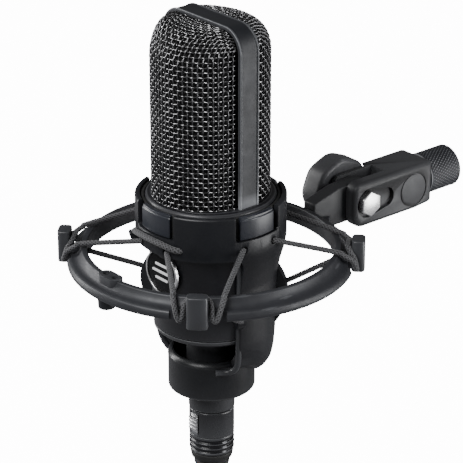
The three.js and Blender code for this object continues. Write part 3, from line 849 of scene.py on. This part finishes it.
def suspension_ring():
    """Ring with eight notches for the cords and a boss at the front with two screw holes."""
    ring = lathe("ring_casting", RING_PROFILE, RING_COAT, 0.7, 192)
    cutters = []
    for angle in POSTS.values():
        for middle in (-NOTCH_MIDDLE, NOTCH_MIDDLE):
            cutters.append(block((middle - NOTCH_HALF, middle + NOTCH_HALF), (-62, -56.2), (-40, -10), angle))
    for x in (-SCREW_OFFSET, SCREW_OFFSET):
        hole = [Vector((x, -BOSS_CIRCLE, z)) for z in (-40, -25, -10)]
        cutters.append(tube("cutter", hole, SCREW_RADIUS + 0.3, PLASTIC, 20))
    boss = arc(SCREW_OFFSET, -BOSS_CIRCLE, BOSS_RADIUS, -90, 90, 16)
    boss += arc(-SCREW_OFFSET, -BOSS_CIRCLE, BOSS_RADIUS, 90, 270, 16)
    pad = prism("boss", boss, RING_BOTTOM, RING_TOP + 0.6, "Z", RING_COAT, 0)
    boolean(ring, [pad], "UNION")
    boolean(ring, cutters)
    bevel(ring, 0.45, 40, 3)
    place(ring, "ring", ["suspension_ring"])


def swivel_tongue():
    """Tongue that the fork clasps, and the web where it grows out of the ring."""
    low = RING_BOTTOM + 0.3
    nose = arc(PIVOT_Y, PIVOT_Z, TONGUE_RADIUS, -90, 90, 20)
    outline = [(53.4, low), (62, PIVOT_Z - TONGUE_RADIUS)] + nose + [(67, -16.8), (53.4, -20.4)]
    tongue = prism("swivel_tongue", outline, -TONGUE_HALF, TONGUE_HALF, "X", BLOCK_COAT, 0.8)
    place(tongue, "ring")
    root = [(-12, 53), (12, 53), (12, 55.5), (7, 58.6), (3.2, 63), (-3.2, 63), (-7, 58.6), (-12, 55.5)]
    web = prism("tongue_root", rounded(root, 1.6), low, low + 3.3, "Z", RING_COAT, 0.7)
    place(web, "ring")


def posts():
    """Four posts with a softly squared outline, which the cords loop round."""
    outline = []
    sides = 48
    for i in range(sides):
        turn = 2 * math.pi * i / sides
        x = math.cos(turn)
        y = math.sin(turn)
        reach = (x ** 4 + y ** 4) ** -0.25
        outline.append((POST_WIDE * reach * x, POST_DEEP * reach * y - POST_CIRCLE, 0))
    for name, angle in POSTS.items():
        turned = [(x, y) for x, y, _ in turned_about_z(outline, angle)]
        post = prism("post_" + name, turned, -32.5, -19, "Z", GREY_PLASTIC_AND_BEAD_HIGHLIGHT, 0.5, 50)
        place(post, "ring", ["cord_post_" + name])


def boss_pins():
    """Stud under the boss, and the two screws in it."""
    stud = [(0, -35.6), (3.4, -35.6), (3.6, -31.1), (0, -31.1)]
    under = lathe("stud_under_boss", stud, PLASTIC, 0.5, 40, closed=False, centre=(0, -53.9))
    place(under, "ring", ["boss_stud"])
    screw = [(0, -30), (SCREW_RADIUS, -30), (SCREW_RADIUS, -23.6), (0, -23.6)]
    for side, x in (("left", -SCREW_OFFSET), ("right", SCREW_OFFSET)):
        pin = lathe("small_screw_" + side, screw, STEEL, 0.2, 24, closed=False, centre=(x, -BOSS_CIRCLE))
        place(pin, "ring", ["boss_screw_" + side])


# ---------- cords ----------

CORD_RADIUS = 1.05
BRAID_PERIOD = 1.6
LUG_HOLDS = {
    "front_right": (29.6, 74.5, -46), "rear_right": (30.6, 136, -39.5),
    "rear_left": (30.6, 224, -39.5), "front_left": (30.6, 295, -39.5),
}


def braid(length, turn):
    """Height of a diamond braid: two families of strands that cross over and under."""
    along = 2 * math.pi * length / BRAID_PERIOD
    one = math.cos(5 * turn + along)
    two = math.cos(5 * turn - along)
    return min(max(0.5 + 0.5 * max(one, two) - 0.25 * one * two, 0.0), 1.0)


def cord(name, path, radius):
    """Braided tube along a path, with points close enough together to show its strands."""
    return tube(name, even_spacing(path, 0.25), radius, BRAID, 24, braid)


def stretch_cord(obj, node, ring_end, cradle_end):
    """Hides the CAD piece a cord stands for and bakes the cord's place into its points; the two end points
    are worked out but not used.
    """
    start, end = [(x * MM, y * MM, RIM + z * MM) for x, y, z in (ring_end, cradle_end)]
    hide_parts(node)
    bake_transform(obj)
    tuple(start)
    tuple(end)


def upper_cord_half(hole_z):
    """Cord from the cradle over the ring's wall, down the notch and up behind the post."""
    return [
        polar(30.2, 45 - HOLE_ANGLE, hole_z), (10.4, -51, -20.9), (10, -54, -22.4), (8.9, -57.9, -25.4),
        (8.0, -59.3, -28.4), (6.9, -59.6, -29.9), (5.9, -59.3, -28.4), (5.5, -58.4, -25.6),
        (4.8, -56.9, -23.2), (2.6, -55.9, -21.8),
    ]


def upper_cord(name, angle):
    """Loop from one hole of the cradle round a post to the next hole."""
    right_half = upper_cord_half(FRONT_HOLE_Z if name == "front_left" else HOLE_Z)
    left_half = upper_cord_half(FRONT_HOLE_Z if name == "front_right" else HOLE_Z)
    loop = right_half + [(-x, y, z) for x, y, z in reversed(left_half)]
    upper = cord("braided_cord_" + name, spline(turned_about_z(loop, angle), 14), CORD_RADIUS)
    stretch_cord(upper, "upper_cord_" + name, polar(51.0, angle, RING_TOP), polar(30.4, angle, RING_TOP))


def lower_cord(name, angle):
    """Straight cord from the ring down to a lug of the cradle."""
    start = polar(50.8, angle, -28.5)
    end = polar(*LUG_HOLDS[name])
    lower = cord("lower_braided_cord_" + name, [Vector(start), Vector(end)], CORD_RADIUS)
    stretch_cord(lower, "lower_cord_" + name, start, end)


def bridge_cord():
    """Cord across the front of the cradle, from hole to hole."""
    bridge = [polar(29.4, -27.5, -14.6), polar(31.4, -25.5, -14.1)]
    bridge += [polar(32.0, 7.5 * i, -12.3 - 0.16 * i * i) for i in range(-3, 4)]
    bridge += [polar(31.4, 25.5, -14.1), polar(29.4, 27.5, -14.6)]
    across = cord("bridge_braided_cord", spline(bridge, 12), CORD_RADIUS + 0.1)
    place(across, "cradle", ["bridge_cord"])


def cords():
    for name, angle in POSTS.items():
        upper_cord(name, angle)
        lower_cord(name, angle)
    bridge_cord()


# ---------- stand adapter ----------

BLOCK_BOX = box_mm("adapter_block")
FORK_HALF = BLOCK_BOX[1][0]
FORK_TOP = BLOCK_BOX[1][2] - PIVOT_Z
FORK_BOTTOM = BLOCK_BOX[0][2] - PIVOT_Z
FORK_GAP = TONGUE_HALF + 0.3
BLOCK_REAR = BLOCK_BOX[1][1] - PIVOT_Y
SLEEVE_END = box_mm("thread_sleeve")[1][1] - PIVOT_Y
SLEEVE_RADIUS = box_mm("thread_sleeve")[1][0]
SLEEVE_BORE = 7.9
KNURL_DEPTH = 0.28
DISH_DEPTH = 1.6
KNOB_BOX = box_mm("tilt_knob")
KNOB_FACE = KNOB_BOX[1][0]
KNOB_END = KNOB_BOX[0][0]
KNOB_RADIUS = (KNOB_BOX[1][2] - KNOB_BOX[0][2]) / 2
KNOB_ROOM = 0.8
SCALLOPS = 8
SCALLOP_DEPTH = 0.5
ARM_FACE = -KNOB_FACE - 1.2


def adapter_block():
    """Forked block with a recess round the bolt, one round the knob, and an engraved ring."""
    y, z = PIVOT_Y, PIVOT_Z
    side = arc(y - 3, z + FORK_BOTTOM + 5, 5, 180, 270, 12)
    side += [(y + 28, z + FORK_BOTTOM), (y + BLOCK_REAR, z + FORK_BOTTOM + 0.9)]
    side += [(y + BLOCK_REAR, z + FORK_TOP)] + arc(y - 4.5, z + FORK_TOP - 3.5, 3.5, 90, 180, 8)
    fork = prism("fork_block", side, -FORK_HALF, FORK_HALF, "X", BLOCK_COAT, 1.7)
    slot = [(y - 20, z - 20), (y + 13.6, z - 20), (y + 13.6, z + 20), (y - 20, z + 20)]
    dish = arc(y, z, 6.6, 90, 270, 24) + arc(y + 10, z, 4.4, -90, 90, 24)
    cutters = [
        prism("cutter", slot, -FORK_GAP, FORK_GAP, "X", POWDER, 0),
        prism("cutter", dish, FORK_HALF - DISH_DEPTH, FORK_HALF + 3, "X", POWDER, 0),
    ]
    deep = 12
    around_knob = [(0, 0), (KNOB_RADIUS + KNOB_ROOM, 0), (KNOB_RADIUS + KNOB_ROOM, deep), (0, deep)]
    recess = lathe("cutter", around_knob, POWDER, 0, 96, closed=False)
    cutters.append(lay_along("X", recess, -ARM_FACE - deep, y, z))
    groove = lathe("cutter", [(7.1, -0.4), (7.7, -0.4), (7.7, 0.4), (7.1, 0.4)], POWDER, 0, 64)
    cutters.append(lay_along("X", groove, FORK_HALF, y + 26.2, z - 1.2))
    boolean(fork, cutters)
    bevel(fork, 0.7, 32, 3)
    place(fork, "adapter", ["adapter_block"])


def thread_sleeve():
    """Knurled sleeve: crossed cuts at a steep angle, with plain bands at both ends."""
    outer = SLEEVE_RADIUS
    inner = SLEEVE_BORE
    low = BLOCK_REAR + 0.3
    high = SLEEVE_END
    columns = 160
    rows = 60
    points = []
    for r in range(rows + 1):
        along = low + (high - low) * r / rows
        fade = min(1.0, max(0.0, min(along - low - 0.8, high - 0.8 - along) / 0.4))
        for c in range(columns):
            turn = 2 * math.pi * c / columns
            one = abs(math.sin(20 * turn + along * 1.4))
            two = abs(math.sin(20 * turn - along * 1.4))
            reach = outer - KNURL_DEPTH * fade * (1 - min(one, two))
            points.append((reach * math.cos(turn), PIVOT_Y + along, PIVOT_Z + reach * math.sin(turn)))
    for along in (high, low):
        for c in range(columns):
            turn = 2 * math.pi * c / columns
            points.append((inner * math.cos(turn), PIVOT_Y + along, PIVOT_Z + inner * math.sin(turn)))
    sleeve = mesh_object("knurled_sleeve", points, grid_faces(rows + 3, columns, True, True), BAND, 30)
    place(sleeve, "adapter", ["thread_sleeve"])


def pivot_bolt():
    """Hex head, shaft, and the washer on the knob's side."""
    hexagon = [(PIVOT_Y + u, PIVOT_Z + v) for u, v in arc(0, 0, 5.8, 30, 390, 6)[:-1]]
    seat = FORK_HALF - DISH_DEPTH + 0.3
    head_piece = prism("bolt_head", hexagon, seat, seat + 3.2, "X", STEEL, 0.6)
    place(head_piece, "adapter", ["pivot_bolt"])
    reach = seat + 0.5 - KNOB_END
    shaft = lathe("bolt_shaft", [(0, 0), (3, 0), (3, reach), (0, reach)], STEEL, 0.4, 40, closed=False)
    place(lay_along("X", shaft, KNOB_END, PIVOT_Y, PIVOT_Z), "adapter")
    washer = lathe("knob_side_washer", [(3.2, -0.3), (7, -0.3), (7, 0.3), (3.2, 0.3)], STEEL, 0.15, 48)
    lay_along("X", washer, KNOB_FACE + 0.6, PIVOT_Y, PIVOT_Z)
    place(washer, "adapter", ["knob_washer"])


def tilt_knob():
    """Round knob with shallow scallops and softly rolled edges."""
    thick = KNOB_FACE - KNOB_END
    rim = KNOB_RADIUS
    profile = [
        (5.6, 0), (rim - 1.2, 0), (rim, 1.2), (rim, thick - 2.2), (rim - 2, thick), (7.5, thick),
        (5.6, thick - 1.4),
    ]
    profile = rounded(profile, 1.5, True, 5)
    columns = 160
    points = []
    for radius, along in profile:
        grip = min(1.0, max(0.0, (radius - rim + 5) / 4))
        for c in range(columns):
            turn = 2 * math.pi * c / columns
            reach = radius - SCALLOP_DEPTH * grip * (0.5 - 0.5 * math.cos(SCALLOPS * turn))
            across = PIVOT_Y + reach * math.cos(turn)
            points.append((KNOB_FACE - along, across, PIVOT_Z + reach * math.sin(turn)))
    faces = grid_faces(len(profile), columns, True, True)
    knob = mesh_object("scalloped_knob", points, faces, KNOB_PLASTIC, 40)
    place(knob, "knob", ["tilt_knob"])
    insert = lathe("brass_insert", [(3.2, -5.5), (5.3, -5.5), (5.3, 5.5), (3.2, 5.5)], BRASS, 0.3, 48)
    middle = (KNOB_FACE + KNOB_END) / 2
    place(lay_along("X", insert, middle, PIVOT_Y, PIVOT_Z), "knob", ["knob_insert"])


# ---------- cable plug ----------

def plug_barrel():
    low, high = heights("plug_shell")
    shell = [(5, low), (9.5, low), (9.5, high - 0.5), (9.2, high), (5, high)]
    barrel = lathe("plug_barrel", shell, PLUG_COAT, 0.35)
    boolean(barrel, [block((-2.4, 2.4), (-13, -6), (low + 1.6, high - 1.3))])
    bevel(barrel, 0.15, 50, 2)
    place(barrel, "plug", ["plug_shell"])


def release_latch():
    """Ridged button in the barrel's opening."""
    low, high = heights("plug_latch")
    outline = [(-7.4, low), (-7.4, high), (-9.5, high), (-9.7, high - 0.9)]
    for i in range(4):
        ridge = high - 1.0 - 1.6 * i
        outline += [(-10.9, ridge), (-10.9, ridge - 0.7), (-9.7, ridge - 0.9)]
    outline += [(-9.6, low)]
    latch = prism("release_latch", outline, -2.1, 2.1, "X", LATCH_STEEL, 0.1)
    place(latch, "latch", ["plug_latch"])


def grooved_collar():
    low, high = heights("plug_collar")
    collar = [(5, low), (9.1, low)]
    for i in range(3):
        z = low + 2 + 2.2 * i
        collar += [(9.5, z - 0.9), (8.9, z - 0.45), (8.9, z + 0.45), (9.5, z + 0.9)]
    collar += [(9.3, high), (5, high)]
    place(lathe("grooved_collar", collar, PLUG_COAT, 0.2), "plug", ["plug_collar"])


def boot_and_cable():
    """Ribbed rubber boot that widens upwards, and a short end of cable."""
    low, high = heights("cable_boot")
    boot = [(0, low), (4.6, low), (5, low + 1)]
    for i in range(7):
        along = 3 + 3.8 * i
        reach = 5.1 + 0.09 * along
        z = low + along
        boot += [(reach, z), (reach + 0.1, z + 1.5), (reach - 0.5, z + 1.9), (reach - 0.4, z + 3.2)]
    boot += [(8.6, high - 3.1), (9.1, high - 0.7), (9.0, high), (0, high)]
    place(lathe("ribbed_boot", boot, RUBBER, 0.3, closed=False), "plug", ["cable_boot"])
    low, high = heights("cable_stub")
    cable = lathe("cable", [(0, low), (3.2, low), (3.2, high), (0, high)], RUBBER, 0.15, 48, closed=False)
    place(cable, "plug", ["cable_stub"])


# ---------- CAD pieces that stay ----------

def finish_inner_pieces():
    """Materials for the pieces inside, which keep their CAD shapes."""
    looks = {
        "capsule_ring": BRASS, "backplate": BRASS, "front_diaphragm": GOLD, "rear_diaphragm": GOLD,
        "capsule_saddle": PLASTIC, "chassis_plate": BAND, "circuit_board": BOARD,
        "chassis_rail_right": BAND, "chassis_rail_left": BAND, "socket_insert": PLASTIC,
        "plug_contacts": PLASTIC, "socket_pin_1": STEEL, "socket_pin_2": STEEL, "socket_pin_3": STEEL,
    }
    for name, material in looks.items():
        node = frame["nodes"][name]
        node.data.materials.clear()
        node.data.materials.append(material)


# ---------- stage, light and camera ----------

BACKGROUND = 14.0
FILL_LIGHT = 0.13


def only_for_camera(tree, lighting, seen):
    """A value that is one thing to the camera and another to the light that falls on the object."""
    path = tree.nodes.new("ShaderNodeLightPath")
    mix = tree.nodes.new("ShaderNodeMix")
    mix.inputs["A"].default_value = lighting
    mix.inputs["B"].default_value = seen
    tree.links.new(path.outputs["Is Camera Ray"], mix.inputs["Factor"])
    return mix.outputs["Result"]


def stage():
    """Pale floor that looks white to the camera but throws little light up at the object."""
    material, tree, shader = new_material("pale_floor")
    shader.inputs["Base Color"].default_value = (0.22, 0.22, 0.23, 1)
    shader.inputs["Roughness"].default_value = 0.9
    shader.inputs["Emission Color"].default_value = (1, 1, 1, 1)
    tree.links.new(only_for_camera(tree, 0.0, BACKGROUND), shader.inputs["Emission Strength"])
    bump(tree, shader, noise(tree, 400, 3), 0.0002)
    mesh = bpy.data.meshes.new("floor")
    reach = 6.0
    level = -0.0005
    corners = [(-reach, -reach, level), (reach, -reach, level), (reach, reach, level), (-reach, reach, level)]
    mesh.from_pydata(corners, [], [(0, 1, 2, 3)])
    mesh.materials.append(material)
    floor = bpy.data.objects.new("floor", mesh)
    bpy.context.scene.collection.objects.link(floor)


def area_light(name, place_m, aim, size, power):
    """Rectangular lamp with its place, aim and size in metres and its power in watts."""
    lamp = bpy.data.lights.new(name, "AREA")
    lamp.shape = "RECTANGLE"
    lamp.size, lamp.size_y = size
    lamp.energy = power
    obj = bpy.data.objects.new(name, lamp)
    obj.location = place_m
    obj.rotation_euler = (Vector(aim) - Vector(place_m)).to_track_quat("-Z", "Y").to_euler()
    bpy.context.scene.collection.objects.link(obj)


def lights():
    """Even fill from the world, a key light, a strip at each side and a card under the adapter."""
    world = bpy.data.worlds.new("studio")
    bpy.context.scene.world = world
    world.use_nodes = True
    background = world.node_tree.nodes["Background"]
    background.inputs["Color"].default_value = (1, 1, 1, 1)
    tree = world.node_tree
    tree.links.new(only_for_camera(tree, FILL_LIGHT, BACKGROUND), background.inputs["Strength"])
    middle = (0, 0, RIM)
    area_light("key", (0.1, -0.7, 0.85), middle, (0.5, 0.5), 13)
    area_light("left_strip", (-0.75, -0.35, 0.35), middle, (0.15, 0.8), 7)
    area_light("right_strip", (0.8, 0.45, 0.4), middle, (0.15, 0.8), 7)
    area_light("low_card", (0.30, 0.33, 0.03), (0, PIVOT[1], PIVOT[2]), (0.22, 0.22), 1.2)


def camera():
    """View from the microphone's front right and above."""
    turn = math.radians(49.7)
    rise = math.radians(23.9)
    distance = 0.998
    aim_aside = 8.3
    aim_height = -18.3
    aim = Vector((aim_aside * math.cos(turn) * MM, aim_aside * math.sin(turn) * MM, RIM + aim_height * MM))
    away = Vector((math.sin(turn) * math.cos(rise), -math.cos(turn) * math.cos(rise), math.sin(rise)))
    data = bpy.data.cameras.new("camera")
    data.sensor_width = 36
    data.lens = 191
    obj = bpy.data.objects.new("camera", data)
    obj.location = aim + away * distance
    obj.rotation_euler = (-away).to_track_quat("-Z", "Y").to_euler()
    bpy.context.scene.collection.objects.link(obj)
    bpy.context.scene.camera = obj


head()
body()
badge()
cradle_shell()
window_bead()
cradle_hooks()
slot_pads()
lock_cup()
suspension_ring()
swivel_tongue()
posts()
boss_pins()
cords()
adapter_block()
thread_sleeve()
pivot_bolt()
tilt_knob()
plug_barrel()
release_latch()
grooved_collar()
boot_and_cable()
finish_inner_pieces()
stage()
lights()
camera()

bpy.context.view_layer.update()
